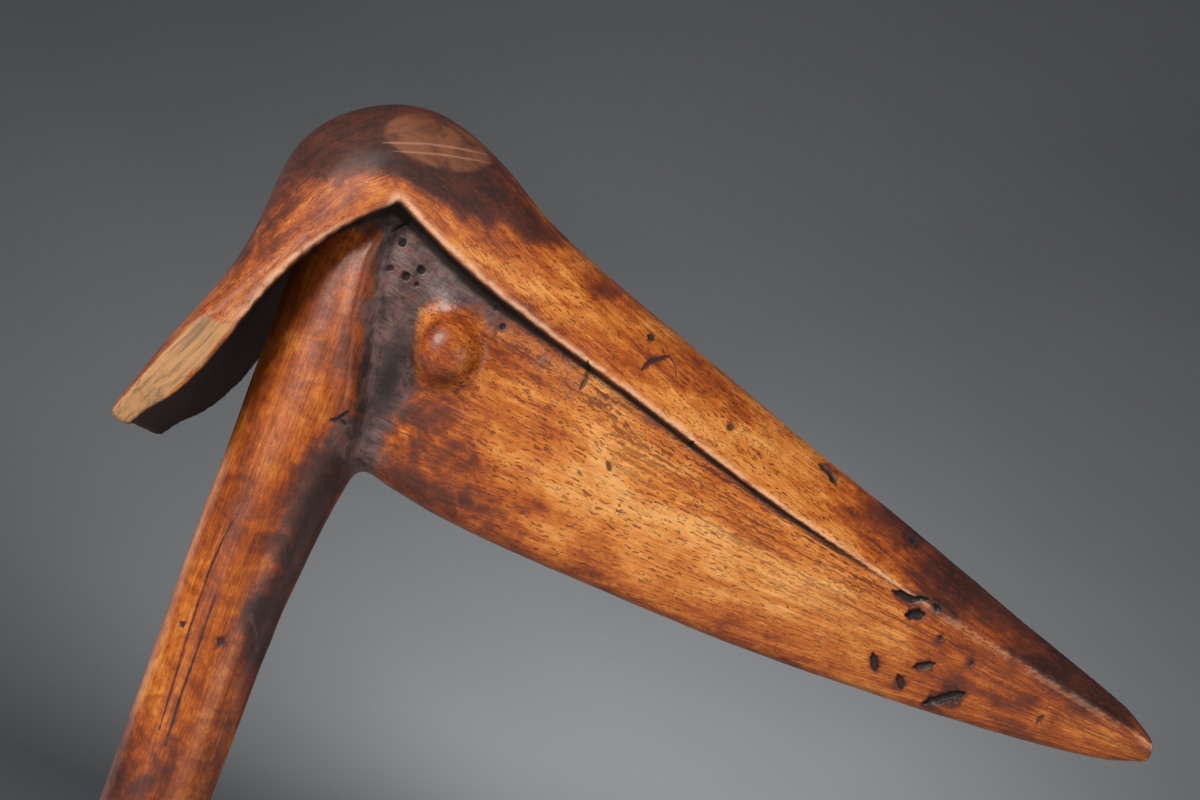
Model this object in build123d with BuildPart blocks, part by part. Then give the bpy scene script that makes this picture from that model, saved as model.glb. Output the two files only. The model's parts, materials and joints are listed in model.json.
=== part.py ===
from build123d import *
import os
from typing import NamedTuple

# Bird-head club: a hooded bird's head with a long beak, carved in one piece with its round shaft.
#
# Frame: the origin is the centre of the flat end of the butt, +Z runs up the shaft to the head, +X is the
# way the beak points, and the XZ plane is the plane of symmetry. Millimetres. The carving is divided along
# its carved lines into named regions that meet face to face, each one closed solid in its own STEP file.

os.makedirs("parts", exist_ok=True)

# ---- driving dimensions ----------------------------------------------------------------------------
HEAD_BASE = 616.0           # height of the lowest point of the head, the free end of the crest
BUTT_FACE_RADIUS = 17.0     # the flat end that the club can be stood on
BUTT_TOP = 50.0             # heights at which the shaft is divided
GRIP_TOP = 250.0
SHAFT_MIDDLE = 410.0
NECK_BASE = 560.0

# Radius of the shaft at each height, from the flared butt past the thin grip to the foot of the neck.
SHAFT_RADII = [(10, 22.0), (20, 22.6), (50, 17.4), (95, 14.6), (170, 14.2), (330, 14.8), (480, 15.7), (NECK_BASE, 16.5)]

EYE_CENTRE = (38.5, HEAD_BASE + 55.0)      # x, z of both eyes
EYE_RADIUS = 10.3
EYE_ROOT = 9.0                             # y at which the eye starts, inside the cheek
EYE_SHOULDER = 14.0                        # y at which its dome starts
EYE_TOP = 20.5                             # y of the top of its dome


class NeckSection(NamedTuple):
    """A level oval of the neck."""
    height: float       # above the head's base
    back: float         # x of the back
    front: float        # x of the front
    half_width: float


class HoodSection(NamedTuple):
    """An arch across the hood, from the rim on one side over the ridge to the other rim."""
    rim: tuple          # x and height above the head's base of the rim's lower edge
    ridge: tuple        # x and height above the head's base of the ridge
    half_width: float   # at the rim's outer edge
    rim_height: float   # the rim's own thickness
    hollow: float       # how far the underside rises in the middle
    lean: float         # angle at which the arch leaves the rim: 90 degrees is upright


class BeakSection(NamedTuple):
    """An upright wedge across the beak, under the hood."""
    x: float
    top: float          # heights above the head's base
    bottom: float
    top_half: float     # half widths
    bottom_half: float
    belly: float        # how far each side bulges


NECK_SECTIONS = [
    NeckSection(NECK_BASE - HEAD_BASE, -16.5, 16.5, 16.5),
    NeckSection(-41, -16.6, 17.0, 16.7),
    NeckSection(-26, -16.7, 18.1, 16.9),
    NeckSection(-11, -16.7, 19.6, 17.1),
    NeckSection(4, -16.7, 21.8, 17.3),
    NeckSection(18, -16.8, 25.0, 17.5),
    NeckSection(32, -17.0, 26.0, 17.7),
    NeckSection(46, -17.0, 23.5, 17.6),
    NeckSection(60, -17.0, 20.5, 17.2),
    NeckSection(76, -16.8, 19.5, 16.4),
    NeckSection(98, -16.0, 18.0, 15.0),
]

# From the crest's free end, round the crown, to the tip of the beak.
HOOD_SECTIONS = [
    HoodSection((-42.5, 0.6), (-52.5, 2.5), 28.5, 7.5, 4.0, 20),
    HoodSection((-34.0, 11.5), (-47.5, 17.5), 33.0, 10.5, 6.0, 24),
    HoodSection((-25.0, 27.5), (-41.0, 36.5), 36.0, 12.0, 7.5, 28),
    HoodSection((-19.5, 44.0), (-35.3, 51.5), 35.3, 9.0, 7.5, 40),
    HoodSection((-12.0, 63.0), (-31.3, 73.5), 32.0, 5.0, 8.5, 62),
    HoodSection((0.0, 81.5), (-30.2, 92.0), 28.5, 3.4, 8.0, 80),
    HoodSection((9.0, 90.8), (-20.8, 112.3), 26.0, 3.0, 4.0, 86),
    HoodSection((10.6, 91.8), (4.0, 124.8), 25.0, 3.0, 1.0, 88),
    HoodSection((14.5, 90.0), (30.5, 118.3), 24.6, 3.0, 0.0, 88),
    HoodSection((30.8, 82.2), (46.0, 109.2), 23.9, 3.0, 0.0, 84),
    HoodSection((58.0, 72.2), (68.5, 98.2), 22.4, 3.0, 0.0, 80),
    HoodSection((95.2, 61.4), (103.0, 85.2), 20.0, 2.8, 0.0, 74),
    HoodSection((143.0, 46.6), (150.0, 67.8), 16.7, 2.4, 0.0, 66),
    HoodSection((189.5, 35.4), (195.0, 52.0), 13.2, 1.6, 0.0, 57),
    HoodSection((230.3, 26.6), (235.0, 37.2), 9.9, 1.0, 0.0, 51),
    HoodSection((261.8, 20.0), (265.0, 26.4), 7.2, 0.7, 0.0, 47),
    HoodSection((282.0, 14.8), (283.0, 17.8), 4.4, 0.5, 0.0, 42),
]
RIM_BEVEL = 0.45            # how far the rim's lower edge stands in, as a share of its thickness
RIM_BEVEL_LIMIT = 3.0       # the rim thickness that the bevel stops growing at
CREST_END_ROUNDING = 2.5    # round the free end of the crest
CROWN_STARTS_AT = 5         # the hood sections at which the crest ends and the beak's ridge begins
RIDGE_STARTS_AT = 9

BEAK_SECTIONS = [
    BeakSection(6, 96, 15.5, 15.5, 8.5, 0.3),
    BeakSection(34, 86, 10.6, 15.3, 8.0, 0.6),
    BeakSection(66, 74, 5.6, 15.0, 7.2, 0.9),
    BeakSection(106, 63, 3.0, 14.6, 6.6, 1.0),
    BeakSection(150, 49, 1.0, 13.6, 6.0, 1.0),
    BeakSection(195, 37, 1.4, 11.6, 5.2, 1.0),
    BeakSection(235, 27, 3.3, 8.6, 4.4, 0.6),
    BeakSection(262, 21, 5.8, 6.0, 3.5, 0.4),
    BeakSection(283.3, 15.6, 9.2, 3.7, 2.3, 0.2),
]
BEAK_EDGE_RISE = 0.9        # how far above the lower edge the beak's sides start, as a share of its half width


def section_plane(section):
    """The plane of a hood section: its x is sideways, its y runs from the rim up to the ridge."""
    rim = Vector(section.rim[0], 0, HEAD_BASE + section.rim[1])
    ridge = Vector(section.ridge[0], 0, HEAD_BASE + section.ridge[1])
    return Plane(origin=rim, x_dir=(0, 1, 0), z_dir=Vector(0, 1, 0).cross(ridge - rim))


def shaft_solid():
    """The turned-looking lower shaft, from the flared butt to the foot of the neck."""
    with BuildPart() as shaft:
        with BuildSketch(Plane.XZ):
            with BuildLine():
                side = Spline((BUTT_FACE_RADIUS, 0), *[(radius, height) for height, radius in SHAFT_RADII])
                Polyline(side @ 1, (0, NECK_BASE), (0, 0), side @ 0)
            make_face()
        revolve(axis=Axis.Z)
    return shaft.part


def neck_solid():
    """The upper shaft, which swells forward into the beak and ends under the hood."""
    with BuildPart() as neck:
        for section in NECK_SECTIONS:
            with BuildSketch(Plane.XY.offset(HEAD_BASE + section.height)):
                with Locations(((section.back + section.front) / 2, 0)):
                    Ellipse((section.front - section.back) / 2, section.half_width)
        loft()
    return neck.part


def hood_solid():
    """The whole hood: the crest, the crown and the ridge of the beak as one arched sweep."""
    with BuildPart() as hood:
        for section in HOOD_SECTIONS:
            height = (Vector(*section.ridge) - Vector(*section.rim)).length
            width, rim = section.half_width, section.rim_height
            low = width - RIM_BEVEL * min(rim, RIM_BEVEL_LIMIT)
            with BuildSketch(section_plane(section)):
                with BuildLine():
                    out = Vector(1, 0).rotate(Axis.Z, section.lean)
                    Spline((width, rim), (0, height), (-width, rim),
                           tangents=[(-out.X, out.Y), (-out.X, -out.Y)])
                    Line((-width, rim), (-low, 0))
                    Spline((-low, 0), (0, section.hollow), (low, 0))
                    Line((low, 0), (width, rim))
                make_face()
        loft()
        fillet(hood.faces().sort_by(Axis.Z)[0].edges(), CREST_END_ROUNDING)
    return hood.part


def beak_solid():
    """The flat-sided beak under the hood, thin along its rounded lower edge."""
    with BuildPart() as beak:
        for section in BEAK_SECTIONS:
            bend = section.bottom + BEAK_EDGE_RISE * section.bottom_half
            middle = ((section.top_half + section.bottom_half) / 2 + section.belly, (section.top + bend) / 2)
            with BuildSketch(Plane(origin=(section.x, 0, HEAD_BASE), x_dir=(0, 1, 0), z_dir=(1, 0, 0))):
                with BuildLine():
                    Line((-section.top_half, section.top), (section.top_half, section.top))
                    Spline((section.top_half, section.top), middle, (section.bottom_half, bend))
                    ThreePointArc((section.bottom_half, bend), (0, section.bottom), (-section.bottom_half, bend))
                    Spline((-section.bottom_half, bend), (-middle[0], middle[1]), (-section.top_half, section.top))
                make_face()
        loft()
    return beak.part


def eye_solid(side):
    """A domed eye that stands out of the cheek. side is -1 on the right and 1 on the left."""
    axis = Axis((EYE_CENTRE[0], 0, EYE_CENTRE[1]), (0, side, 0))
    with BuildPart() as eye:
        with BuildSketch(Plane(origin=axis.position, x_dir=(1, 0, 0), z_dir=(0, 0, -side))):
            with BuildLine():
                Line((0, EYE_ROOT), (EYE_RADIUS, EYE_ROOT))
                Line((EYE_RADIUS, EYE_ROOT), (EYE_RADIUS, EYE_SHOULDER))
                Spline((EYE_RADIUS, EYE_SHOULDER), (0, EYE_TOP), tangents=[(0, 1), (-1, 0)])
                Line((0, EYE_TOP), (0, EYE_ROOT))
            make_face()
        revolve(axis=axis)
    return eye.part


def less(whole, *others):
    """whole, with the others cut out of it, so that it meets them face to face."""
    with BuildPart() as kept:
        add(whole)
        for other in others:
            add(other, mode=Mode.SUBTRACT)
    return kept.part


def between(whole, lower=None, upper=None):
    """The part of whole above the plane lower and below the plane upper."""
    with BuildPart() as slab:
        add(whole)
        if lower:
            split(bisect_by=lower, keep=Keep.TOP)
        if upper:
            split(bisect_by=upper, keep=Keep.BOTTOM)
    return slab.part


def write(name, part):
    part.label = name
    export_step(part, f"parts/{name}.step")
    print(f"{name}: {len(part.solids())} solid, {part.volume / 1000:.1f} cm3, valid {part.is_valid}")


# ---- the whole shapes --------------------------------------------------------------------------------
shaft = shaft_solid()
hood = hood_solid()
neck = less(neck_solid(), hood)
beak = less(beak_solid(), hood, neck)

# ---- the shaft's regions -----------------------------------------------------------------------------
butt_cut, grip_cut, middle_cut = (Plane.XY.offset(z) for z in (BUTT_TOP, GRIP_TOP, SHAFT_MIDDLE))
write("butt", between(shaft, upper=butt_cut))
write("grip", between(shaft, lower=butt_cut, upper=grip_cut))
write("shaft_lower", between(shaft, lower=grip_cut, upper=middle_cut))
write("shaft_upper", between(shaft, lower=middle_cut))
write("neck", neck)

# ---- the hood's regions ------------------------------------------------------------------------------
crown_cut = section_plane(HOOD_SECTIONS[CROWN_STARTS_AT])
ridge_cut = section_plane(HOOD_SECTIONS[RIDGE_STARTS_AT])
write("crest", between(hood, upper=crown_cut))
write("crown", between(hood, lower=crown_cut, upper=ridge_cut))
write("beak_ridge", between(hood, lower=ridge_cut))

# ---- the beak and the eyes ---------------------------------------------------------------------------
write("beak", beak)
for name, side in (("right_eye", -1), ("left_eye", 1)):
    write(name, less(eye_solid(side), beak))
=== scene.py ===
"""The looks of the bird-head club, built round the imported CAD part.

The club is one carved piece of wood, so its CAD regions are first joined into one fine skin. The skin is
carved further here: soft creases, tool marks, dents, pits and drying cracks. It is then divided again into
one closed piece for each region, and the pieces share their edges and normals, so no seam shows. Sizes in
this script are in millimetres in the row frame, apart from those of the studio, which are in metres. Heights
are counted from the head's base, the lowest point of the crest, so those on the shaft are negative.
"""
import itertools
import json
import math

import bmesh
import bpy
import numpy as np
from mathutils import Matrix, Vector
from mathutils.bvhtree import BVHTree
from mathutils.kdtree import KDTree


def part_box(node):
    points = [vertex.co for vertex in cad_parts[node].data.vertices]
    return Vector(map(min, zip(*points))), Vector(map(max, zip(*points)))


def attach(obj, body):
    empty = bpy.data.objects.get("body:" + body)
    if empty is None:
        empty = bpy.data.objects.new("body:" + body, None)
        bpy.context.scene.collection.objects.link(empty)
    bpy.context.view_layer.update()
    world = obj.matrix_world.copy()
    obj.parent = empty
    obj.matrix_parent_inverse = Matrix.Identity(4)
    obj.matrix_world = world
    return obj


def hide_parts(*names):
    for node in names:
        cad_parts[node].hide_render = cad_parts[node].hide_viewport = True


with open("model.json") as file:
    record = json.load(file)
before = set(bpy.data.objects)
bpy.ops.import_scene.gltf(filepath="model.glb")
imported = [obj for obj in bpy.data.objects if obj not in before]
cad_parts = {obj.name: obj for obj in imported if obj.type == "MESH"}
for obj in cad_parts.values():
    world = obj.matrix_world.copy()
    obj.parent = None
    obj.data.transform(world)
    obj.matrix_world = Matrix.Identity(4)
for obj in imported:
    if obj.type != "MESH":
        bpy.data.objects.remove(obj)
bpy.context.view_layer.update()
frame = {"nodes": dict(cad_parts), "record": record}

MM = 0.001

# ---- driving values --------------------------------------------------------------------------------------
FINE_VOXEL = 0.8
VOXEL = FINE_VOXEL   # spacing of the skin's points
REGIONS = sorted(frame["nodes"])
HOOD = ("crest", "crown", "beak_ridge")
EYES = ("left_eye", "right_eye")
SHAFT = ("butt", "grip", "shaft_lower", "shaft_upper")
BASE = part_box("crest")[0][2] / MM           # height of the head's base
NEAR, FAR, BOTH = -1, 1, 0                  # which side of the head a mark is on, by the sign of its y


# ---- fields over the skin --------------------------------------------------------------------------------
SEED_STEP = 19.37                           # how far apart two seeds lie in the field of random values
AXIS_HASH = (374761393, 668265263, 1440662683)
MIX_HASH = 1274126177


def noise(points, size, seed=0):
    """Smooth random values from -1 to 1 at the points, varying over size: one, or one for each axis."""
    place = points / np.asarray(size, float) + seed * SEED_STEP
    cell = np.floor(place).astype(np.int64)
    share = place - cell
    share = share * share * (3 - 2 * share)
    total = np.zeros(len(points))
    for corner in itertools.product((0, 1), repeat=3):
        mixed = sum((cell[:, axis] + corner[axis]) * AXIS_HASH[axis] for axis in range(3))
        mixed = (mixed ^ (mixed >> 13)) * MIX_HASH
        value = ((mixed ^ (mixed >> 16)) & 0xFFFF) / 0x7FFF - 1
        total += value * np.prod(np.where(corner, share, 1 - share), axis=1)
    return total


def layered(points, size, seed=0, layers=3):
    """noise, with finer layers of it added at half the strength each."""
    size = np.asarray(size, float)
    total = sum(noise(points, size / 2 ** n, seed + n) / 2 ** n for n in range(layers))
    return total / (2 - 2 ** (1 - layers))


def smooth_step(value, low, high):
    """0 below low, 1 above high and a smooth rise between."""
    share = np.clip((value - low) / (high - low), 0, 1)
    return share * share * (3 - 2 * share)


def blob(points, x, height, wide, tall):
    """A soft spot on both sides of the head, 1 at its centre."""
    return np.exp(-((points[:, 0] - x) / wide) ** 2 - ((points[:, 2] - BASE - height) / tall) ** 2)


def along_path(points, path):
    """Seen from the side, how far each point is along a path of (x, height) corners and off to its left."""
    flat = points[:, [0, 2]] - (0, BASE)
    corners = np.array(path, float)
    steps = np.diff(corners, axis=0)
    lengths = np.linalg.norm(steps, axis=1)
    starts = np.cumsum(lengths) - lengths
    along, across = np.zeros(len(flat)), np.full(len(flat), np.inf)
    for start, step, length, before in zip(corners, steps, lengths, starts):
        offset = flat - start
        share = np.clip(offset @ step / length ** 2, 0, 1)
        away = np.linalg.norm(offset - share[:, None] * step, axis=1)
        nearer = away < np.abs(across)
        left = np.sign(step[0] * offset[:, 1] - step[1] * offset[:, 0])
        along[nearer] = (before + share * length)[nearer]
        across[nearer] = (left * away)[nearer]
    return along, across


def off_path(points, path):
    """How far each point is from the path, and from the path's nearer end as a share of the path's length."""
    if len(path) == 1:
        away = np.linalg.norm(points[:, [0, 2]] - (0, BASE) - path[0], axis=1)
        return away, np.full(len(points), 0.5)
    along, across = along_path(points, path)
    length = np.linalg.norm(np.diff(np.array(path, float), axis=0), axis=1).sum()
    return np.abs(across), np.minimum(along, length - along) / length


# ---- marks of use and age --------------------------------------------------------------------------------
# Each mark is (side, path of (x, height) corners, width, depth, darkness). A path of one corner is a round
# pit. A mark's depth falls to nothing from CUT's first share of its width to its second. TINT does the same
# for its colour, and AROUND for the stain in the wood round it.
CUT, TINT, AROUND = (0.1, 0.7), (0.3, 0.75), (0.5, 1.6)
PITS = [
    (NEAR, [(95, 80), (97, 79.6)], 2.4, 0.7, 0.9),              # on the ridge of the beak
    (NEAR, [(96.8, 69), (98.6, 73), (103.2, 76.4)], 1.5, 0.5, 0.8),
    (NEAR, [(103.2, 76.4), (106, 74), (107.5, 70.5)], 0.6, 0.3, 0.5),
    (NEAR, [(128, 62)], 2.2, 0.6, 0.85),
    (NEAR, [(157.5, 61), (161.5, 59.5), (164, 57)], 2.0, 0.8, 0.95),
    (NEAR, [(192, 49.5)], 2.6, 0.7, 0.9),
    (NEAR, [(139, 57.5)], 1.2, 0.4, 0.6),
    (NEAR, [(80.9, 57), (81.6, 61), (80.6, 66)], 1.3, 0.5, 0.75),  # on the beak's side
    (NEAR, [(96, 39.5), (98, 37)], 1.3, 0.5, 0.7),
    (NEAR, [(117.5, 51.5), (119, 54)], 1.2, 0.4, 0.55),
    (NEAR, [(191, 32), (197, 31.4), (202, 33.5)], 2.0, 1.0, 1.0),
    (NEAR, [(197.5, 26.5), (202, 28.5)], 3.4, 1.5, 1.0),
    (NEAR, [(205.5, 31.5)], 2.6, 1.2, 1.0),
    (NEAR, [(209.5, 23.5)], 1.5, 0.7, 0.8),
    (NEAR, [(192, 12), (194.5, 7.5)], 2.4, 1.1, 0.9),
    (NEAR, [(201.5, 8.5), (204, 5)], 2.2, 1.0, 0.85),
    (NEAR, [(205, 12.5), (210.5, 15.5)], 1.9, 0.9, 0.9),
    (NEAR, [(212, 3.2), (222, 10)], 3.0, 1.3, 0.9),
    (NEAR, [(221, 19.5)], 1.5, 0.6, 0.8),
    (NEAR, [(246, 9.5), (247, 12)], 1.4, 0.4, 0.6),
    (NEAR, [(13.4, 72.6)], 1.7, 0.8, 0.9),                      # worm holes under the hood
    (NEAR, [(18.7, 72.0)], 2.2, 1.4, 1.0),
    (NEAR, [(22.4, 75.2)], 2.4, 1.4, 1.0),
    (NEAR, [(22.6, 70.6)], 1.4, 0.8, 0.9),
    (NEAR, [(14.2, 81.0)], 2.0, 0.9, 0.9),
    (NEAR, [(52, 67.3)], 1.8, 0.9, 0.9),
    (NEAR, [(48, 71.5)], 1.5, 0.6, 0.7),
    (NEAR, [(12.5, 22.6), (14.6, 23.4), (16.5, 27)], 1.0, 0.5, 0.7),  # at the foot of the crease
    (NEAR, [(15.2, 23.6), (17.5, 23)], 0.8, 0.4, 0.6),
    (NEAR, [(-9.4, -51), (-8.2, -52)], 1.8, 0.5, 0.9),          # knots in the shaft
    (NEAR, [(3.6, -52), (5.4, -52.4)], 2.8, 0.4, 0.75),
    (FAR, [(70, 47), (74, 45)], 1.8, 0.7, 0.85),
    (FAR, [(121, 72), (125, 70)], 2.0, 0.7, 0.9),
    (FAR, [(150, 21), (156, 24)], 2.2, 0.9, 0.9),
    (FAR, [(162, 15)], 2.6, 1.0, 0.95),
    (FAR, [(228, 16), (233, 18)], 1.8, 0.7, 0.85),
    (FAR, [(24, 66)], 1.8, 1.0, 0.95),
    (FAR, [(18, 60)], 1.5, 0.8, 0.9),
    (FAR, [(5, -90), (6.5, -91.5)], 2.4, 0.4, 0.8),
    (BOTH, [(-3.5, -176)], 2.6, 0.4, 0.8),
    (FAR, [(-4, -330), (-2.5, -332)], 2.4, 0.4, 0.8),
]
CRACKS = [
    (NEAR, [(-4.4, -14), (-5.7, -23), (-6.4, -34), (-6.1, -47), (-5.2, -63), (-3.9, -84)], 0.45, 0.4, 0.75),
    (NEAR, [(-1.9, -36), (-1.5, -52), (-1.2, -72), (-0.4, -88)], 0.5, 0.4, 0.75),
    (NEAR, [(3.5, -150), (2.6, -190), (3.8, -236)], 0.6, 0.7, 0.9),
    (FAR, [(2, -20), (3.4, -58), (2.2, -104), (3.0, -140)], 0.8, 0.9, 0.95),
    (FAR, [(-5, -230), (-4.2, -300), (-5.4, -352)], 0.7, 0.8, 0.9),
    (NEAR, [(-6, -420), (-5, -470), (-5.6, -520)], 0.7, 0.8, 0.9),
    (BOTH, [(4, -545), (4.6, -585), (3.4, -612)], 1.0, 1.2, 0.95),
]
SCRATCHES = [
    (NEAR, [(-1, 107.2), (12, 111.6), (29, 115.6)], 0.7, 0.12, 0),
    (NEAR, [(3, 105.8), (16, 109.6), (31, 113.2)], 0.6, 0.12, 0),
]


def mark_strength(points, mark):
    """How deep a mark is cut at each point, how strong its colour is and how strong the stain round it is."""
    side, path, width, _, _ = mark
    away, from_end = off_path(points, path)
    taper = 0.35 + 0.65 * smooth_step(from_end, 0, 0.2)
    ragged = 1 + 0.35 * noise(points, 1.6, seed=3)
    reach = width * taper * ragged
    on_side = 1 if side == BOTH else points[:, 1] * side > 0
    return [on_side * (1 - smooth_step(away, low * reach, high * reach)) for low, high in (CUT, TINT, AROUND)]


# ---- the carving's skin ----------------------------------------------------------------------------------
def joined_nodes():
    """Every CAD node's triangles in one list: corners in mm, triangles, and the region that each is of."""
    corners, triangles, owners = [], [], []
    total = 0
    for index, name in enumerate(REGIONS):
        mesh = frame["nodes"][name].data
        mesh.calc_loop_triangles()
        place = np.empty(len(mesh.vertices) * 3)
        mesh.vertices.foreach_get("co", place)
        indices = np.empty(len(mesh.loop_triangles) * 3, np.int64)
        mesh.loop_triangles.foreach_get("vertices", indices)
        corners.append(place.reshape(-1, 3) / MM)
        triangles.append(indices.reshape(-1, 3) + total)
        owners.append(np.full(len(mesh.loop_triangles), index))
        total += len(mesh.vertices)
    return np.concatenate(corners), np.concatenate(triangles), np.concatenate(owners)


def remeshed(corners, triangles, spacing):
    """One closed, even skin round all the triangles, as a mesh in mm."""
    rough = bpy.data.objects.new("rough", bpy.data.meshes.new("rough"))
    rough.data.from_pydata(corners.tolist(), [], triangles)
    bpy.context.scene.collection.objects.link(rough)
    voxels = rough.modifiers.new("voxels", "REMESH")
    voxels.mode = "VOXEL"
    voxels.voxel_size = spacing
    evaluated = rough.evaluated_get(bpy.context.evaluated_depsgraph_get())
    skin = bpy.data.meshes.new_from_object(evaluated)
    bpy.data.objects.remove(rough)
    return skin


def refine(skin):
    """Gives the skin finer faces wherever a mark is cut into it."""
    points = points_of(skin)
    close = np.zeros(len(points), bool)
    for mark in PITS + CRACKS + SCRATCHES:
        side, path, width, _, _ = mark
        close |= (off_path(points, path)[0] < 0.7 * width + VOXEL) & (points[:, 1] * side >= 0)
    shape = bmesh.new()
    shape.from_mesh(skin)
    shape.verts.ensure_lookup_table()
    edges = {edge for index in np.flatnonzero(close) for edge in shape.verts[index].link_edges}
    bmesh.ops.subdivide_edges(shape, edges=list(edges), cuts=2, use_grid_fill=True)
    bmesh.ops.triangulate(shape, faces=[face for face in shape.faces if len(face.verts) > 4])
    shape.to_mesh(skin)
    shape.free()


def points_of(mesh):
    place = np.empty(len(mesh.vertices) * 3)
    mesh.vertices.foreach_get("co", place)
    return place.reshape(-1, 3)


def edges_of(mesh):
    ends = np.empty(len(mesh.edges) * 2, np.int64)
    mesh.edges.foreach_get("vertices", ends)
    return ends.reshape(-1, 2)


def face_centres(mesh):
    centres = np.empty(len(mesh.polygons) * 3)
    mesh.polygons.foreach_get("center", centres)
    return centres.reshape(-1, 3)


def normals_of(mesh, points):
    """The skin's smooth normals when its points are moved to these places."""
    mesh.vertices.foreach_set("co", points.ravel())
    mesh.update()
    normals = np.empty(len(points) * 3)
    mesh.vertex_normals.foreach_get("vector", normals)
    return normals.reshape(-1, 3)


def neighbour_mean(values, edges, count):
    """For each point, the mean of the values at the points that it shares an edge with."""
    a, b = edges.T
    columns = [np.bincount(a, v[b], count) + np.bincount(b, v[a], count) for v in values.T]
    return np.stack(columns, axis=1) / np.maximum(np.bincount(edges.ravel(), minlength=count), 1)[:, None]


def relaxed(points, edges, strength, rounds):
    """The points, drawn rounds times towards their neighbours, each by its own strength of 0 to 1."""
    for _ in range(rounds):
        points = points + 0.5 * strength[:, None] * (neighbour_mean(points, edges, len(points)) - points)
    return points


def region_of_faces(mesh, tree, owners):
    """Which region each face of the skin belongs to: that of the nearest CAD triangle."""
    return np.array([owners[tree.find_nearest(centre)[2]] for centre in face_centres(mesh)])


def share_of(mesh, face_regions, names):
    """For each point, the share of its faces that are in the named regions."""
    inside = np.isin(face_regions, [REGIONS.index(name) for name in names]).astype(float)
    sizes = np.empty(len(mesh.polygons), np.int64)
    mesh.polygons.foreach_get("loop_total", sizes)
    corners = np.empty(len(mesh.loops), np.int64)
    mesh.loops.foreach_get("vertex_index", corners)
    count = len(mesh.vertices)
    return np.bincount(corners, np.repeat(inside, sizes), count) / np.bincount(corners, minlength=count)


def from_border(points, one, other):
    """How far each point of two regions, given as shares, is from their border."""
    border = points[(one > 0) & (other > 0)]
    tree = KDTree(len(border))
    for index, place in enumerate(border):
        tree.insert(place, index)
    tree.balance()
    away = np.full(len(points), np.inf)
    for index in np.flatnonzero((one > 0) | (other > 0)):
        away[index] = tree.find(points[index])[2]
    return away


def near(away, reach):
    """1 where away is 0, falling to 0 at the reach."""
    return 1 - smooth_step(away, 0.25 * reach, reach)


def spread(values, edges, rounds=3):
    """The values, each averaged over its point's neighbours this many times."""
    values = values[:, None]
    for _ in range(rounds):
        values = neighbour_mean(values, edges, len(values))
    return values[:, 0]


# ---- rounding off the CAD's creases ----------------------------------------------------------------------
CREST_INWARD = np.array((0.87, 0, -0.5))    # the way the underside of the hood faces, over the neck
CREASE_ROUNDS, EDGE_ROUNDS = 80, 60         # how often the skin is relaxed there
NECK_CREASE, EYE_CREASE = 10, 20            # how far from the neck's and the eyes' borders it is softened
TIP_END = (270, 280)                        # x from and to which the beak's tip is softened
EDGE_TOP, EDGE_FRONT = (34, 46), (4, 14)    # height and x between which the hood's outer edge comes and goes


def soften(mesh, tree, owners):
    """Rounds off the creases where the CAD's regions meet, and refines the skin where marks are cut."""
    points, edges = points_of(mesh), edges_of(mesh)
    faces = region_of_faces(mesh, tree, owners)
    regions = (("beak",), ("neck",), EYES, HOOD[:2])
    beak, neck, eyes, back_hood = (share_of(mesh, faces, names) for names in regions)
    normals = normals_of(mesh, points)
    rounds_share = (FINE_VOXEL / VOXEL) ** 2
    soft = near(from_border(points, beak, neck), NECK_CREASE)
    soft = np.maximum(soft, near(from_border(points, beak, eyes), EYE_CREASE))
    soft = np.maximum(soft, smooth_step(points[:, 0], *TIP_END))
    points = relaxed(points, edges, soft, round(CREASE_ROUNDS * rounds_share))
    outer_edge = back_hood * smooth_step(points[:, 2] - BASE, *EDGE_TOP)
    outer_edge = outer_edge * (1 - smooth_step(points[:, 0], *EDGE_FRONT))
    outer_edge *= smooth_step(np.abs(normals[:, 1]), 0.35, 0.6)
    outer_edge *= smooth_step(-normals @ CREST_INWARD, -0.3, 0)
    points = relaxed(points, edges, outer_edge, round(EDGE_ROUNDS * rounds_share))
    points = relaxed(points, edges, np.full(len(points), 0.7), 4)
    mesh.vertices.foreach_set("co", points.ravel())
    refine(mesh)


# ---- the carving's surface -------------------------------------------------------------------------------
DOWNWARD = np.array((0.33, 0, -0.94))       # the way the underside of the hood faces, over the beak
NECK_END, CHEEK_END, GAP_END, TIP_START = (-15, 10), (30, 85), (150, 215), (180, 215)   # x, from and to
FOOT_TOP = (-34, 37)                        # x and height of the upper end of the crest's raw foot
FOOT_LEAN = (-0.2, 1.27)                    # how fast one goes past that end along x and height
RIM_EDGE = [                                # x, and the width there of the lip inside the rim's edge, darkened as painted shade
    (0, 9.0), (30, 8.2), (60, 6.5), (100, 4.5), (150, 2.4), (200, 0.3),
]
EDGE_WIDTH = 0.55                           # of the worn line along the rim's outer edge, lightened as a painted highlight


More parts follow.
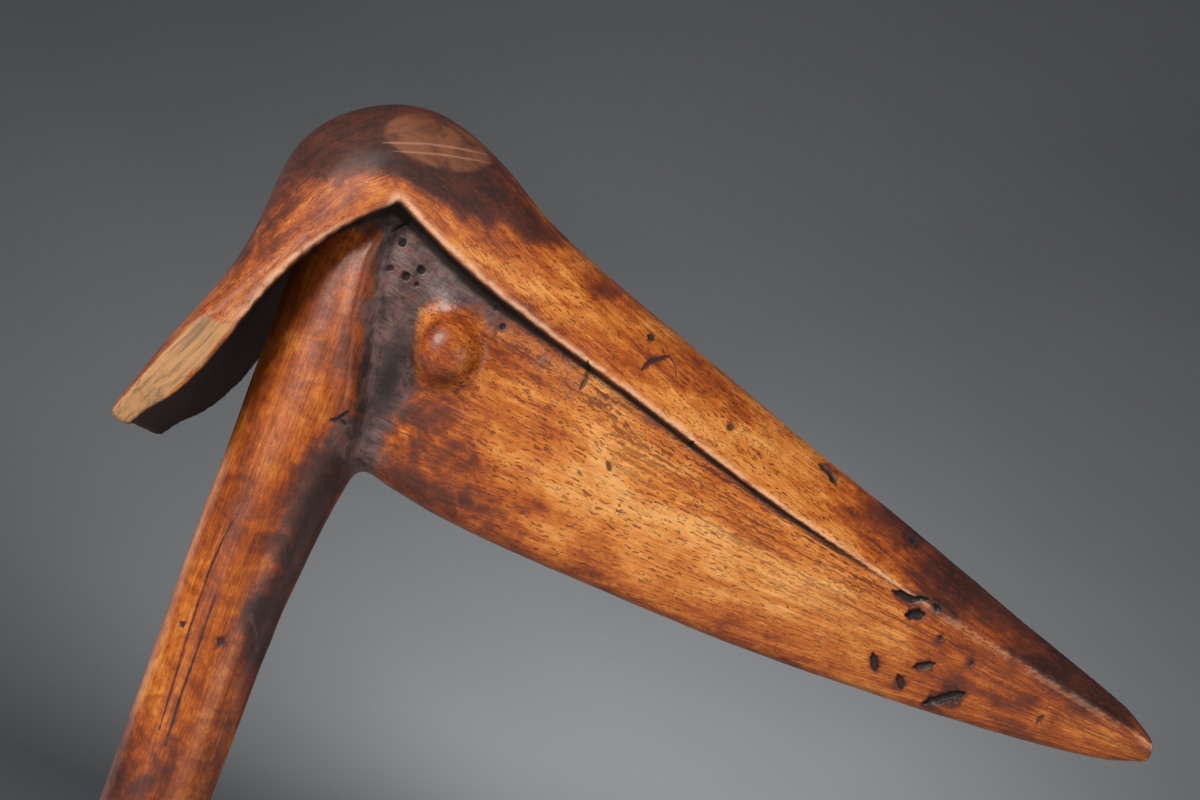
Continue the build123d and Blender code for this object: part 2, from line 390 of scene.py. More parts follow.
class Surface:
    """The softened skin: each point's share of every region, the way it faces and where it is on the head."""

    def __init__(self, mesh, tree, owners):
        self.edges = edges_of(mesh)
        count = len(mesh.vertices)
        self.points = relaxed(points_of(mesh), self.edges, np.full(count, 0.5), 2)
        self.normals = normals_of(mesh, self.points)
        self.faces = region_of_faces(mesh, tree, owners)
        regions = (("beak",), ("neck",), EYES, HOOD, ("crest",), SHAFT + ("neck",))
        shares = [share_of(mesh, self.faces, names) for names in regions]
        self.beak, neck, eyes, self.hood, self.crest, self.round_part = shares
        self.sheltered = self.beak + neck + eyes

        x = self.points[:, 0]
        self.height = self.points[:, 2] - BASE
        self.forward = smooth_step(x, *CHEEK_END)
        self.over_neck = 1 - smooth_step(x, *NECK_END)
        self.at_tip = smooth_step(x, *TIP_START)
        self.before_tip = 1 - smooth_step(x, *GAP_END)
        past_foot = FOOT_LEAN[1] * (self.height - FOOT_TOP[1]) + FOOT_LEAN[0] * (x - FOOT_TOP[0])
        self.foot = self.over_neck * (1 - smooth_step(past_foot, -4, 4))
        self.from_rim = from_border(self.points, self.hood, self.beak + neck)

        self.sideways = np.abs(self.normals[:, 1])
        self.downward = self.over_neck * (self.normals @ CREST_INWARD)
        self.downward += (1 - self.over_neck) * (self.normals @ DOWNWARD)
        off_mean = self.points - neighbour_mean(self.points, self.edges, count)
        bend = spread(np.einsum("ij,ij->i", off_mean, self.normals), self.edges) / VOXEL ** 2
        self.worn = smooth_step(bend, 0.05, 0.16)
        self.crease = smooth_step(-bend, 0.03, 0.12)


def rim_of(surface):
    """How far each point is in painted shade and patina under the hood, on the rim's lip in painted shade and
    on its worn edge with a painted highlight.
    """
    # painted shade, with patina, in a dark band just under the hood's rim and on the hood's downward-facing
    # underside
    gap_reach = 3.6 - 2.2 * surface.forward
    gap = (1 - smooth_step(surface.from_rim, 0.3 * gap_reach, gap_reach)) * surface.before_tip
    under = surface.hood * smooth_step(surface.downward, 0.35, 0.75) * (1 - 0.5 * surface.forward)
    under = spread(np.maximum(under, gap), surface.edges)

    over_beak = 1 - surface.over_neck
    past_edge = surface.from_rim - np.interp(surface.points[:, 0], *zip(*RIM_EDGE))
    # the rim's lip, which faces down and is darkened as painted shade
    shaded_lip = surface.hood * (1 - smooth_step(past_edge, -1, 0.2)) * over_beak * (1 - surface.at_tip)
    # the rim's worn outer edge, which is coloured lighter as a painted highlight
    edge = surface.over_neck * np.exp(-((surface.downward - 0.26) / 0.12) ** 2)
    edge += over_beak * np.exp(-(past_edge / EDGE_WIDTH) ** 2)
    edge *= (surface.hood + surface.at_tip * surface.beak) * smooth_step(surface.sideways, 0.1, 0.3)
    edge *= (1 - surface.foot) * (1 - 0.4 * surface.at_tip)
    return under, shaded_lip, edge


def end_grain(surface):
    """How far each point is on the raw end grain that the crest's foot shows, beside and below."""
    beside = surface.crest * smooth_step(surface.sideways, 0.5, 0.72) * surface.foot
    beside *= 1 - smooth_step(surface.downward, 0.05, 0.3) * smooth_step(surface.height, 8, 16)
    beside *= smooth_step(np.abs(surface.points[:, 1]), 23, 27)
    below = surface.crest * smooth_step(-surface.normals[:, 2], 0.55, 0.8)
    below *= 1 - smooth_step(surface.height, 2, 5)
    return np.maximum(beside, 0.6 * below)


DENTS = [(0.26, 24, 1), (0.10, 8, 5)]       # lift, size and seed of the dents all over
SHAFT_WAVE, SHAFT_WAVE_SIZE = 0.26, (8, 8, 55)
RAW_LIFT, WORN_LIFT, EDGE_LIFT = 0.14, 0.12, 0.4
GROOVE = 1.5                                # how much deeper the cheek lies just under the rim
# x and height along the neck's raised edge, and along the crease between it and the cheek
FOLD = [(8.2, 88), (5.7, 73), (7.6, 54.6), (12.5, 37), (16.3, 22)]
VALLEY = [(9.5, 89), (11.8, 75.5), (16.4, 54.6), (21.7, 33.7), (24.5, 16)]
FOLD_RISE, FOLD_WIDTH = 1.2, 2.6
VALLEY_DEPTH, VALLEY_WIDTH = 1.3, 3.4
EYE_SOCKET = [                              # lift of the skin, then x, height, width and height of a place
    (1.6, 37, 56, 8, 11), (0.8, 36, 68, 8, 6), (-1.2, 23, 54, 4.5, 12), (-0.6, 44, 42, 8, 4),
]


def fold_of(surface):
    """How far each point is on the neck's raised edge."""
    away, from_end = off_path(surface.points, FOLD)
    return np.exp(-(away / FOLD_WIDTH) ** 2) * smooth_step(from_end, 0, 0.15)


def relief(surface, folded, raw, edge):
    """How far dents, tools and wear lift each point off the CAD's smooth shape."""
    points = surface.points
    lift = sum(rise * layered(points, size, seed) for rise, size, seed in DENTS)
    lift += surface.round_part * SHAFT_WAVE * noise(points, SHAFT_WAVE_SIZE, 9)
    groove = np.exp(-(surface.from_rim / (7 - 3 * surface.forward)) ** 2) * (1 - 0.6 * surface.forward)
    lift -= GROOVE * groove * surface.sheltered * surface.sideways * surface.before_tip

    valley, from_end = off_path(points, VALLEY)
    beside = smooth_step(surface.sideways, 0.2, 0.55) * surface.sheltered
    lift += beside * FOLD_RISE * folded
    lift -= beside * VALLEY_DEPTH * np.exp(-(valley / VALLEY_WIDTH) ** 2) * smooth_step(from_end, 0, 0.12)
    lift += beside * sum(rise * blob(points, *place) for rise, *place in EYE_SOCKET)
    lift += raw * RAW_LIFT * noise(points, (2, 2, 8), 11)
    lift += surface.worn * WORN_LIFT * noise(points, 3, 13)
    return lift + EDGE_LIFT * edge * (1 - surface.at_tip)


def marks_on(points):
    """How deep the marks are cut at each point, how dark, how stained round them and how pale scratched."""
    deep, dark, halo, pale = (np.zeros(len(points)) for _ in range(4))
    for mark in PITS + CRACKS:
        depth, darkness = mark[3:]
        cut, tint, around = mark_strength(points, mark)
        deep += depth * cut
        dark = np.maximum(dark, darkness * tint)
        halo = np.maximum(halo, darkness * around)
    for mark in SCRATCHES:
        cut, tint, _ = mark_strength(points, mark)
        deep += mark[3] * cut
        pale = np.maximum(pale, tint)
    return deep, dark, halo, pale


# ---- where the wood is coloured --------------------------------------------------------------------------
SOOT = [                                    # x, height, width, height and strength of patina on the cheeks, mottled with a painted sheen
    (11, 84, 9, 10, 1.2), (18, 68, 9, 14, 1.2), (20, 50, 8, 16, 1.1), (23, 32, 7, 14, 1.0),
    (24, 16, 9, 9, 0.9), (32, 76, 12, 8, 1.0), (47, 70, 11, 6, 0.8), (29, 44, 6, 9, 0.9),
    (66, 62, 14, 5, 0.45), (96, 56, 30, 4, 0.35),
]
HOOD_STAINS = [                             # the same for dark red-brown stain on the hood
    (2, 114, 36, 14, 1.3), (-22, 100, 16, 16, 1.0), (-28, 78, 11, 18, 0.9), (24, 106, 18, 7, 0.9),
    (31, 99, 15, 6, 0.7), (52, 99, 13, 6, 0.9), (-14, 98, 8, 5, 0.5), (-46, 26, 6, 18, 0.7),
    (-36, 62, 8, 14, 0.7), (84, 88, 26, 5, 0.5), (138, 67, 26, 5, 0.5), (185, 53, 22, 6, 0.8),
    (228, 41, 30, 8, 1.0), (262, 27, 24, 8, 1.0), (0, 104, 20, 5, 0.7),
]
# darker patches on the beak, and darker along the blade's lower edge
BEAK_DARKENING = [
    (44, 28, 22, 18, 0.8), (39, 52, 8, 11, 0.35), (62, 12, 30, 7, 0.6), (130, -2, 50, 7, 0.5),
    (205, -2, 40, 5, 0.5), (222, 16, 22, 10, 0.3), (248, 13, 30, 13, 0.35),
]
# stain on the shaft; the first four, at x 12 to 17, paint shade on the right side of the neck and upper shaft
SHAFT_STAINS_AND_SHADE = [
    (17, 8, 7, 14, 0.9), (15, -16, 8, 26, 0.9), (12, -38, 5, 4, 0.7), (14, -52, 7, 18, 0.7),
    (0, -96, 24, 26, 0.6), (-14, -100, 5, 20, 0.4), (0, -135, 30, 34, 0.45), (6, -190, 14, 40, 0.4),
    (-6, -330, 12, 50, 0.6), (0, -440, 18, 60, 0.7), (0, -590, 30, 30, 0.8),
]
LIGHT = [                                   # the same for wood painted lighter: lighter patches of the wood, and a painted lit band down the shaft's left side
    (108, 36, 44, 18, 1.6), (166, 24, 36, 14, 1.2), (60, 82, 40, 6, 0.9), (120, 62, 40, 6, 0.7),
    # the last entry on the next line, at x -14: painted light along the shaft's lit left side
    (-22, 72, 12, 8, 0.5), (8, 93, 14, 3, 0.6), (64, 92, 9, 5, 0.9), (-14, -40, 5, 60, 0.5),
    (10, -92, 4, 24, 0.6),
]
EYE = (39, 54, 10, 13)                      # x, height, width and height of a place kept clear of patina
BEHIND_EYE = (24, 42, 5.5, 20)              # the same for painted shade in the hollow of the cheek behind the eye
PALE_PATCH = (14, 113, 16, 7.5)             # and for the worn spot on the crown


def total_of(points, blobs):
    return sum(strength * blob(points, x, height, wide, tall) for x, height, wide, tall, strength in blobs)


def carve(mesh, tree, owners):
    """Softens the skin's creases and cuts every tool mark, dent and crack into it.

    Returns its carved points, the region of each of its faces, and the fields that colour its points.
    """
    soften(mesh, tree, owners)
    surface = Surface(mesh, tree, owners)
    under, shaded_lip, edge = rim_of(surface)
    raw = end_grain(surface)
    folded = fold_of(surface)
    deep, dark, halo, pale = marks_on(surface.points)
    lift = relief(surface, folded, raw, edge) - deep
    points = surface.points + lift[:, None] * surface.normals

    hood, sheltered, at_tip = surface.hood, surface.sheltered, surface.at_tip
    patch = smooth_step(blob(points, *PALE_PATCH) + 0.05 * noise(points, 5, 21), 0.3, 0.42)
    soot_and_sheen = np.clip(total_of(points, SOOT), 0, 1.3) * sheltered * (1 - 0.6 * folded) * (1 - blob(points, *EYE))
    # soot with a painted sheen just under the rim, over the cheek
    rim_soot_and_sheen = 0.55 * sheltered * near(surface.from_rim, 9) * (1 - surface.forward)
    # the beak's roof near the tip, darkened as painted shade
    beak_roof_shade = hood * smooth_step(points[:, 0], 150, 205)
    stain_and_shade = total_of(points, HOOD_STAINS + BEAK_DARKENING + SHAFT_STAINS_AND_SHADE)
    # the stain also carries the painted shade of the rim's lip and of the beak's roof
    stain_and_shade = np.clip(stain_and_shade + 0.85 * shaded_lip + 0.6 * halo + 0.6 * beak_roof_shade, 0, 1.5)
    # wear on convex edges, and at the tip the worn edge line with its painted highlight
    rubbed = np.maximum(0.5 * surface.worn * (1 - 0.7 * shaded_lip), 0.6 * edge * at_tip)
    # dirt in the creases, and painted shade in the cheek's hollow behind the eye
    hollow = np.maximum(0.5 * surface.crease, 0.7 * sheltered * blob(points, *BEHIND_EYE))
    fields = {
        "soot_and_sheen": np.maximum(soot_and_sheen, rim_soot_and_sheen),
        "stain_and_shade": stain_and_shade * (1 - edge),
        # lighter wood, and painted light on the shaft's left side
        "light": np.clip(total_of(points, LIGHT), 0, 1.6) * (1 - shaded_lip),
        "matte": hood * (1 - smooth_step(points[:, 0], 30, 70)),
        "lined": surface.beak * np.exp(-(surface.from_rim / 16) ** 2),
        "patch": patch * (points[:, 1] < 0) * hood,
        "worn": rubbed * (1 - under),
        # the rim's worn outer edge, with a painted highlight
        "edge": edge * (1 - at_tip) * (1 - under),
        # painted shade and patina under the hood, in creases and behind the eye
        "hollow": np.maximum(under, hollow),
        "raw": raw,
        "dark": dark,
        "pale": pale,
    }
    return points, surface.faces, fields


# ---- one piece for each region ---------------------------------------------------------------------------
INNER_DEPTH = 1.0                           # a node's faces that lie deeper than this are its inner ones
SNAP_REACH = 6.0                            # how far an inner face's open edge may be from the outer faces'
HOOD_LINE = [                               # x and height along the hood, which its grain follows
    (-48, 2), (-33, 32), (-20, 68), (-9, 94), (5, 107), (24, 104), (52, 90), (100, 72), (170, 51), (230, 32),
    (284, 16),
]
BEAK_FOCUS = (310, 10)                      # x and height that the grain of the beak runs towards
BEAK_SPREAD = 190                           # how far from there the grain is true to size across


def grain_of(points, region):
    """The points' places in the wood's own grain, in mm: along it, across it and sideways."""
    if region in HOOD:
        along, across = along_path(points, HOOD_LINE)
    elif region == "beak" or region in EYES:
        back, rise = BEAK_FOCUS[0] - points[:, 0], points[:, 2] - BASE - BEAK_FOCUS[1]
        along, across = -np.hypot(back, rise), BEAK_SPREAD * np.arctan2(rise, back)
    else:
        along, across = points[:, 2], points[:, 0]
    return np.stack((along, across, points[:, 1]), axis=1)


def inner_faces(name, carving):
    """The faces of a region's own CAD node that lie inside the carving, as points in mm and polygons."""
    node = frame["nodes"][name].data
    node.calc_loop_triangles()
    lump = remeshed(points_of(node) / MM, [tuple(face.vertices) for face in node.loop_triangles], 1.5 * VOXEL)
    points = points_of(lump)
    deep = np.empty(len(points), bool)
    for index, place in enumerate(points):
        spot, normal, _, _ = carving.find_nearest(place)
        deep[index] = normal.dot(spot - Vector(place)) > INNER_DEPTH
    faces = [tuple(face.vertices) for face in lump.polygons if all(deep[v] for v in face.vertices)]
    bpy.data.meshes.remove(lump)
    used, corners = np.unique(np.array(faces, np.int64).reshape(-1), return_inverse=True)
    return points[used], corners.reshape(-1, 4)


def region_mesh(name, skin, points, normals, faces, fields, carving):
    """One region: the skin's faces there, with the whole skin's normals, closed behind by inner faces."""
    sizes = np.empty(len(skin.polygons), np.int64)
    skin.polygons.foreach_get("loop_total", sizes)
    corners = np.empty(len(skin.loops), np.int64)
    skin.loops.foreach_get("vertex_index", corners)
    chosen = faces == REGIONS.index(name)
    used, corners = np.unique(corners[np.repeat(chosen, sizes)], return_inverse=True)
    sizes = sizes[chosen]
    outer_count = len(used)

    inner, inner_corners = inner_faces(name, carving)
    inner = snapped(inner, inner_corners, points[used], corners, sizes)
    places = np.concatenate((points[used], inner))
    corners = np.concatenate((corners, inner_corners.ravel() + outer_count))
    sizes = np.concatenate((sizes, np.full(len(inner_corners), 4)))

    mesh = bpy.data.meshes.new(name)
    mesh.vertices.add(len(places))
    mesh.loops.add(len(corners))
    mesh.polygons.add(len(sizes))
    mesh.vertices.foreach_set("co", places.ravel() * MM)
    mesh.loops.foreach_set("vertex_index", corners)
    mesh.polygons.foreach_set("loop_start", np.cumsum(sizes) - sizes)
    mesh.update(calc_edges=True)
    for field, values in fields.items():
        inside = np.full(len(inner), float(field == "hollow"))
        spread = np.concatenate((values[used], inside)).astype(np.float32)
        mesh.attributes.new(field, "FLOAT", "POINT").data.foreach_set("value", spread)
    grain = grain_of(places, name).astype(np.float32)
    mesh.attributes.new("grain", "FLOAT_VECTOR", "POINT").data.foreach_set("vector", grain.ravel())
    mesh.polygons.foreach_set("use_smooth", np.ones(len(sizes), bool))
    own = np.empty(len(places) * 3)
    mesh.vertex_normals.foreach_get("vector", own)
    own = own.reshape(-1, 3)
    own[:outer_count] = normals[used]
    mesh.normals_split_custom_set_from_vertices(own.tolist())
    return mesh


def border_of(corners, sizes):
    """The points on the open edges of a mesh given as its polygons' corners and sizes."""
    ends = np.cumsum(sizes)
    following = np.arange(1, len(corners) + 1)
    following[ends - 1] = ends - sizes
    edges = np.sort(np.stack((corners, corners[following]), axis=1), axis=1)
    edges, uses = np.unique(edges, axis=0, return_counts=True)
    return np.unique(edges[uses == 1])


def snapped(inner, inner_corners, outer, outer_corners, outer_sizes):
    """The inner points, those on their open edge moved to the nearest point on the outer faces' open edge."""
    rim = border_of(outer_corners, outer_sizes)
    tree = KDTree(len(rim))
    for index, point in enumerate(outer[rim]):
        tree.insert(point, index)
    tree.balance()
    inner = inner.copy()
    for index in border_of(inner_corners.ravel(), np.full(len(inner_corners), 4)):
        place, _, away = tree.find(inner[index])
        if away < SNAP_REACH:
            inner[index] = place
    return inner


# ---- the wood --------------------------------------------------------------------------------------------
class Graph:
    """Short calls that add nodes to one material."""

    def __init__(self, name):
        self.material = bpy.data.materials.new(name)
        self.material.use_nodes = True
        self.tree = self.material.node_tree
        self.shader = self.tree.nodes["Principled BSDF"]

    def put(self, socket, value):
        if isinstance(value, bpy.types.NodeSocket):
            self.tree.links.new(value, socket)
        elif value is not None:
            socket.default_value = value

    def node(self, kind, *inputs, **settings):
        made = self.tree.nodes.new("ShaderNode" + kind)
        for key, value in settings.items():
            setattr(made, key, value)
        for socket, value in zip(made.inputs, inputs):
            self.put(socket, value)
        return made

    def math(self, operation, *inputs):
        return self.node("Math", *inputs, operation=operation).outputs[0]

    def rise(self, value, low, high, to=1.0):
        """0 where value is low and to where it is high, with a smooth rise between."""
        made = self.node("MapRange", interpolation_type="SMOOTHSTEP")
        for name, given in zip(("Value", "From Min", "From Max", "To Max"), (value, low, high, to)):
            self.put(made.inputs[name], given)
        return made.outputs[0]

    def field(self, name):
        return self.node("Attribute", attribute_name=name).outputs["Fac"]

    def stretched(self, place, sizes):
        """place with each axis divided by its size, so that a texture of scale 1 varies over those sizes."""
        shares = tuple(1 / size for size in sizes)
        return self.node("VectorMath", place, shares, operation="MULTIPLY").outputs[0]

    def noise(self, place, sizes, detail=3.0, rough=0.55, distortion=0.0):
        made = self.node("TexNoise")
        values = (self.stretched(place, sizes), 1.0, detail, rough, distortion)
        for name, value in zip(("Vector", "Scale", "Detail", "Roughness", "Distortion"), values):
            self.put(made.inputs[name], value)
        return made.outputs["Fac"]

    def cells(self, place, sizes):
        made = self.node("TexVoronoi")
        self.put(made.inputs["Vector"], self.stretched(place, sizes))
        self.put(made.inputs["Scale"], 1.0)
        return made.outputs["Distance"]

    def colour(self, share, under, over):
        """under, covered by over by the share."""
        made = self.node("Mix", data_type="RGBA", clamp_factor=True)
        for socket, value in ((made.inputs[0], share), (made.inputs[6], under), (made.inputs[7], over)):
            self.put(socket, value)
        return made.outputs[2]

    def total(self, start, *terms):
        """start plus each (value, weight) of the terms."""
        for value, weight in terms:
            start = self.math("MULTIPLY_ADD", value, weight, start)
        return start

    def ramp(self, value, stops):
        """The colour at value on a scale of (place, colour) stops."""
        made = self.node("ValToRGB", value)
        scale = made.color_ramp.elements
        while len(scale) < len(stops):
            scale.new(1)
        for stop, (place, colour) in zip(scale, stops):
            stop.position, stop.color = place, colour
        return made.outputs["Color"]


WOOD = [                                    # from the darkest stain to wood rubbed bare of it
    (0.00, (0.028, 0.010, 0.008, 1)),
    (0.18, (0.070, 0.019, 0.011, 1)),
    (0.34, (0.150, 0.034, 0.012, 1)),
    (0.48, (0.310, 0.066, 0.011, 1)),
    (0.60, (0.460, 0.128, 0.019, 1)),
    (0.74, (0.610, 0.228, 0.048, 1)),
    (0.92, (0.740, 0.360, 0.115, 1)),
]
MIDDLE = 0.54                               # where plain, unstained wood lies on that scale
CLOUD, HAIR, FLAME, GRIT = 0.7, 0.35, 0.6, 0.25     # how far each texture moves the tone
LIGHTEN, DARKEN = 0.17, 0.40                # how far the lighter patches, with their painted light, and stain, with its painted shade, move it
PORE = (0.105, 0.019, 0.007, 1)
SOOT_DARK = (0.030, 0.017, 0.018, 1)
# pale soot mixed with a painted sheen
PALE_SOOT_AND_SHEEN = (0.135, 0.075, 0.072, 1)
SOOT_RED = (0.130, 0.028, 0.014, 1)
# near black, for painted shade and patina under the hood, in creases and behind the eye
SHADE_AND_PATINA_BLACK = (0.010, 0.005, 0.004, 1)
WORN = (0.78, 0.44, 0.30, 1)
# the colour of the rim's worn edge, lightened as a painted highlight
WORN_EDGE_HIGHLIGHT = (0.84, 0.52, 0.33, 1)
RAW = (0.49, 0.258, 0.112, 1)
RAW_GREY = (0.19, 0.115, 0.070, 1)
PATCH = (0.190, 0.066, 0.030, 1)
PIT = (0.010, 0.007, 0.008, 1)
SCRATCH = (0.36, 0.18, 0.11, 1)
ROUGHNESS = 0.24                            # of clean varnish
COAT_SHARE, COAT_ROUGHNESS = 0.2, 0.2
BUMP_STRENGTH, BUMP_DEPTH = 0.55, 0.22 * MM
WOODS = {                                   # how dark each slot's wood is, its streaks, pores and gloss
    "head_wood": (0.0, 0.5, 0.9, 0.36),
    "stained_wood": (0.0, 0.5, 0.6, 0.36),
    "shaft_wood": (0.05, 0.3, 0.5, 0.40),
}


def pores_of(g, grain, place, hair, strength):
    """Short dark pores of two sizes, in drifts, and long dark lines near the rim, in a swaying grain."""
    wander = g.node("TexNoise", g.stretched(place, (14, 14, 14))).outputs["Color"]
    wander = g.node("VectorMath", wander, (9.0, 2.0, 2.0), operation="MULTIPLY").outputs[0]
    swayed = g.node("VectorMath", grain, wander, operation="ADD").outputs[0]
    drift = g.noise(grain, (30, 15, 15), 3, 0.6, 0.6)
    large = g.math("MULTIPLY_ADD", hair, 0.25, g.cells(swayed, (4.2, 0.72, 1.4)))
    large = g.math("MULTIPLY", g.rise(large, 0.50, 0.34), g.rise(drift, 0.34, 0.52, 0.9 * strength))
    small = g.math("MULTIPLY_ADD", hair, 0.2, g.cells(swayed, (2.2, 0.5, 1.1)))
    small = g.math("MULTIPLY", g.rise(small, 0.46, 0.28), g.rise(drift, 0.68, 0.44, 0.9 * strength))
    line = g.noise(swayed, (24, 1.1, 1.1), 3, 0.6, 0.15)
    line = g.math("MULTIPLY", g.rise(line, 0.50, 0.62), g.total(0.15 * strength, (g.field("lined"), 0.8)))
    return g.math("MAXIMUM", g.math("MAXIMUM", large, small), line)


def end_grain_colour(g, streak, grain, bloom):
    """Raw wood, streaked grey and pitted."""
    pits = g.rise(g.cells(grain, (1.7, 0.6, 0.6)), 0.24, 0.10)
    pits = g.math("MULTIPLY", pits, g.rise(bloom, 0.5, 0.6, 0.5))
    return g.colour(pits, g.colour(g.rise(streak, 0.42, 0.66, 0.85), RAW, RAW_GREY), PIT)


def carved_wood(name, depth, streaks, pores, gloss):
    """Old varnished hardwood, this much darker than the beak, with streaks and pores of these strengths."""
    g = Graph(name)
    grain = g.node("Attribute", attribute_name="grain").outputs["Vector"]
    metres = g.node("TexCoord").outputs["Object"]
    place = g.node("VectorMath", metres, (1 / MM,) * 3, operation="MULTIPLY").outputs[0]

    # one scale of tone: broad clouds, streaks and hair lines along the grain, flames, then lighter patches
    # with a painted lit band, and stain with painted shade
    cloud = g.noise(grain, (50, 20, 20), 4, 0.6, 0.8)
    streak = g.noise(grain, (34, 2.6, 2.6), 4, 0.62, 0.35)
    hair = g.noise(grain, (20, 0.55, 0.55), 3, 0.65, 0.25)
    flame = g.noise(place, (17, 11, 9), 6, 0.64, 1.3)
    ragged = g.math("SUBTRACT", g.noise(place, (12, 12, 12), 6, 0.62, 0.9), 0.5)
    grit = g.noise(grain, (2.4, 0.5, 0.5), 2, 0.6)
    plain = MIDDLE - depth - 0.5 * (CLOUD + streaks + HAIR + FLAME + GRIT)
    tone = g.total(plain, (cloud, CLOUD), (streak, streaks), (hair, HAIR), (flame, FLAME), (grit, GRIT),
                   (g.field("light"), LIGHTEN))
    # stain, with the painted shade of the rim's lip and the beak's roof, darkens the tone
    stain_and_shade = g.rise(g.total(g.field("stain_and_shade"), (ragged, 1.6)), 0.12, 1.35, 1.3)
    wood = g.ramp(g.total(tone, (stain_and_shade, -DARKEN)), WOOD)
    pore = pores_of(g, grain, place, hair, pores)
    wood = g.colour(pore, wood, PORE)

    # the worn patch, and the dark patina on the cheeks, mottled with a pale painted sheen
    wood = g.colour(g.math("MULTIPLY", g.field("patch"), g.rise(flame, 0.70, 0.40, 0.9)), wood, PATCH)
    soot_and_sheen_share = g.rise(g.total(g.field("soot_and_sheen"), (ragged, 1.5)), 0.20, 0.85, 0.97)
    bloom = g.noise(place, (6, 6, 6), 6, 0.72, 0.5)
    hatch = g.noise(grain, (7, 0.6, 0.6), 3, 0.6, 0.3)
    # dark soot mottled with a pale painted sheen
    soot_and_sheen = g.colour(g.rise(g.total(-0.15, (bloom, 1.0), (hatch, 0.3)), 0.38, 0.66), SOOT_DARK, PALE_SOOT_AND_SHEEN)
    soot_and_sheen = g.colour(g.rise(flame, 0.54, 0.68, 0.7), soot_and_sheen, SOOT_RED)
    wood = g.colour(soot_and_sheen_share, wood, soot_and_sheen)

    # wear, the rim's worn edge with its painted highlight, end grain, painted shade and patina in hollows,
    # and marks
    chafe = g.noise(place, (6, 6, 6), 5, 0.7)
    worn = g.math("MULTIPLY", g.field("worn"), g.rise(chafe, 0.40, 0.60, 0.8))
    wood = g.colour(worn, wood, WORN)
    # the rim's worn edge, lightened as a painted highlight
    wood = g.colour(g.math("MULTIPLY", g.field("edge"), g.rise(chafe, 0.26, 0.54, 0.8)), wood, WORN_EDGE_HIGHLIGHT)
    raw = g.rise(g.total(g.field("raw"), (ragged, 1.3)), 0.2, 0.62)
    raw_streak = g.noise(grain, (26, 1.5, 1.5), 6, 0.68, 0.4)
    wood = g.colour(raw, wood, end_grain_colour(g, raw_streak, grain, bloom))
    # painted shade and patina under the hood, in creases and behind the eye
    hollow = g.rise(g.field("hollow"), 0.1, 0.8, 0.97)
    wood = g.colour(hollow, wood, SHADE_AND_PATINA_BLACK)
    wood = g.colour(g.math("MULTIPLY", g.field("pale"), 0.55), wood, SCRATCH)
    wood = g.colour(g.field("dark"), wood, PIT)
    g.put(g.shader.inputs["Base Color"], wood)

    # varnish: glossy on the wood, duller in stain, its painted shade and soot, dull on the end grain and in
    # hollows
    smear = g.noise(place, (9, 9, 14), 4, 0.6, 0.3)
    rough = g.total(ROUGHNESS, (smear, 0.22), (stain_and_shade, 0.12), (g.field("matte"), 0.30), (soot_and_sheen_share, 0.05),
                    (raw, 0.28), (hollow, 0.4), (g.field("dark"), 0.3))
    g.put(g.shader.inputs["Roughness"], rough)
    g.shader.inputs["Coat Weight"].default_value = COAT_SHARE * gloss
    g.shader.inputs["Coat Roughness"].default_value = COAT_ROUGHNESS
    g.shader.inputs["Specular IOR Level"].default_value = gloss

    # fine relief
    grained = g.noise(place, (2.6, 2.6, 2.6), 4, 0.6)
    soot_bloom, soot_hatch = g.math("MULTIPLY", soot_and_sheen_share, bloom), g.math("MULTIPLY", soot_and_sheen_share, hatch)
    height = g.total(0.0, (grained, 0.6), (hair, 0.4), (pore, -0.2), (soot_bloom, 1.2), (soot_hatch, 1.5),
                     (g.math("MULTIPLY", raw, raw_streak), 1.4))
    bump = g.node("Bump")
    for key, value in (("Strength", BUMP_STRENGTH), ("Distance", BUMP_DEPTH), ("Height", height)):
        g.put(bump.inputs[key], value)
    g.put(g.shader.inputs["Normal"], bump.outputs[0])
    return g.material


# ---- the studio, in metres -------------------------------------------------------------------------------
VIEW_CENTRE = Vector((0.0869, 0, BASE * MM + 0.057))
CAMERA_AWAY, CAMERA_LENS, CAMERA_REACH = 1.0, 97, 60
CAMERA_SIDE, CAMERA_UP, CAMERA_ROLL = (math.radians(angle) for angle in (3.3, -3.0, 20.0))
WALL_HIGH, WALL_LOW = Vector((0.12, 5.0, 1.1)), Vector((-1.5, 5.0, 0.2))
LIGHTS = [                                  # name, place, size, watts, what it is turned to and tint
    ("key", (-0.95, -1.65, 1.45), 0.8, 52, VIEW_CENTRE, (1.0, 0.96, 0.91)),
    ("fill", (1.7, -1.5, 0.8), 1.2, 13, VIEW_CENTRE, (1.0, 0.94, 0.88)),
    ("side", (2.3, 0.8, 1.1), 1.2, 10, VIEW_CENTRE, (0.95, 0.97, 1.0)),
    ("back", (-1.9, 1.5, 0.7), 1.4, 4, VIEW_CENTRE, (0.97, 0.98, 1.0)),
    ("wall", (0.1, 3.5, 1.2), 0.7, 35, WALL_HIGH, (0.97, 0.98, 1.0)),
    ("low_wall", (-1.0, 2.2, 0.6), 0.8, 12, WALL_LOW, (0.90, 0.95, 1.0)),
]
ROOM_TINT, ROOM_STRENGTH = (0.86, 0.92, 1.0, 1), 0.10
FLOOR_PALE, FLOOR_ROUGHNESS = (0.60, 0.59, 0.57, 1), 0.9
WALL_GREYS = (0.105, 0.106, 0.108, 1), (0.13, 0.131, 0.133, 1)
FLOOR_RADIUS, WALL_BEND = 2.5, 4.0          # of the flat floor, and of the curve that it goes up in
FLOOR_ROUND, FLOOR_RINGS = 96, 24           # faces round it and up its curve


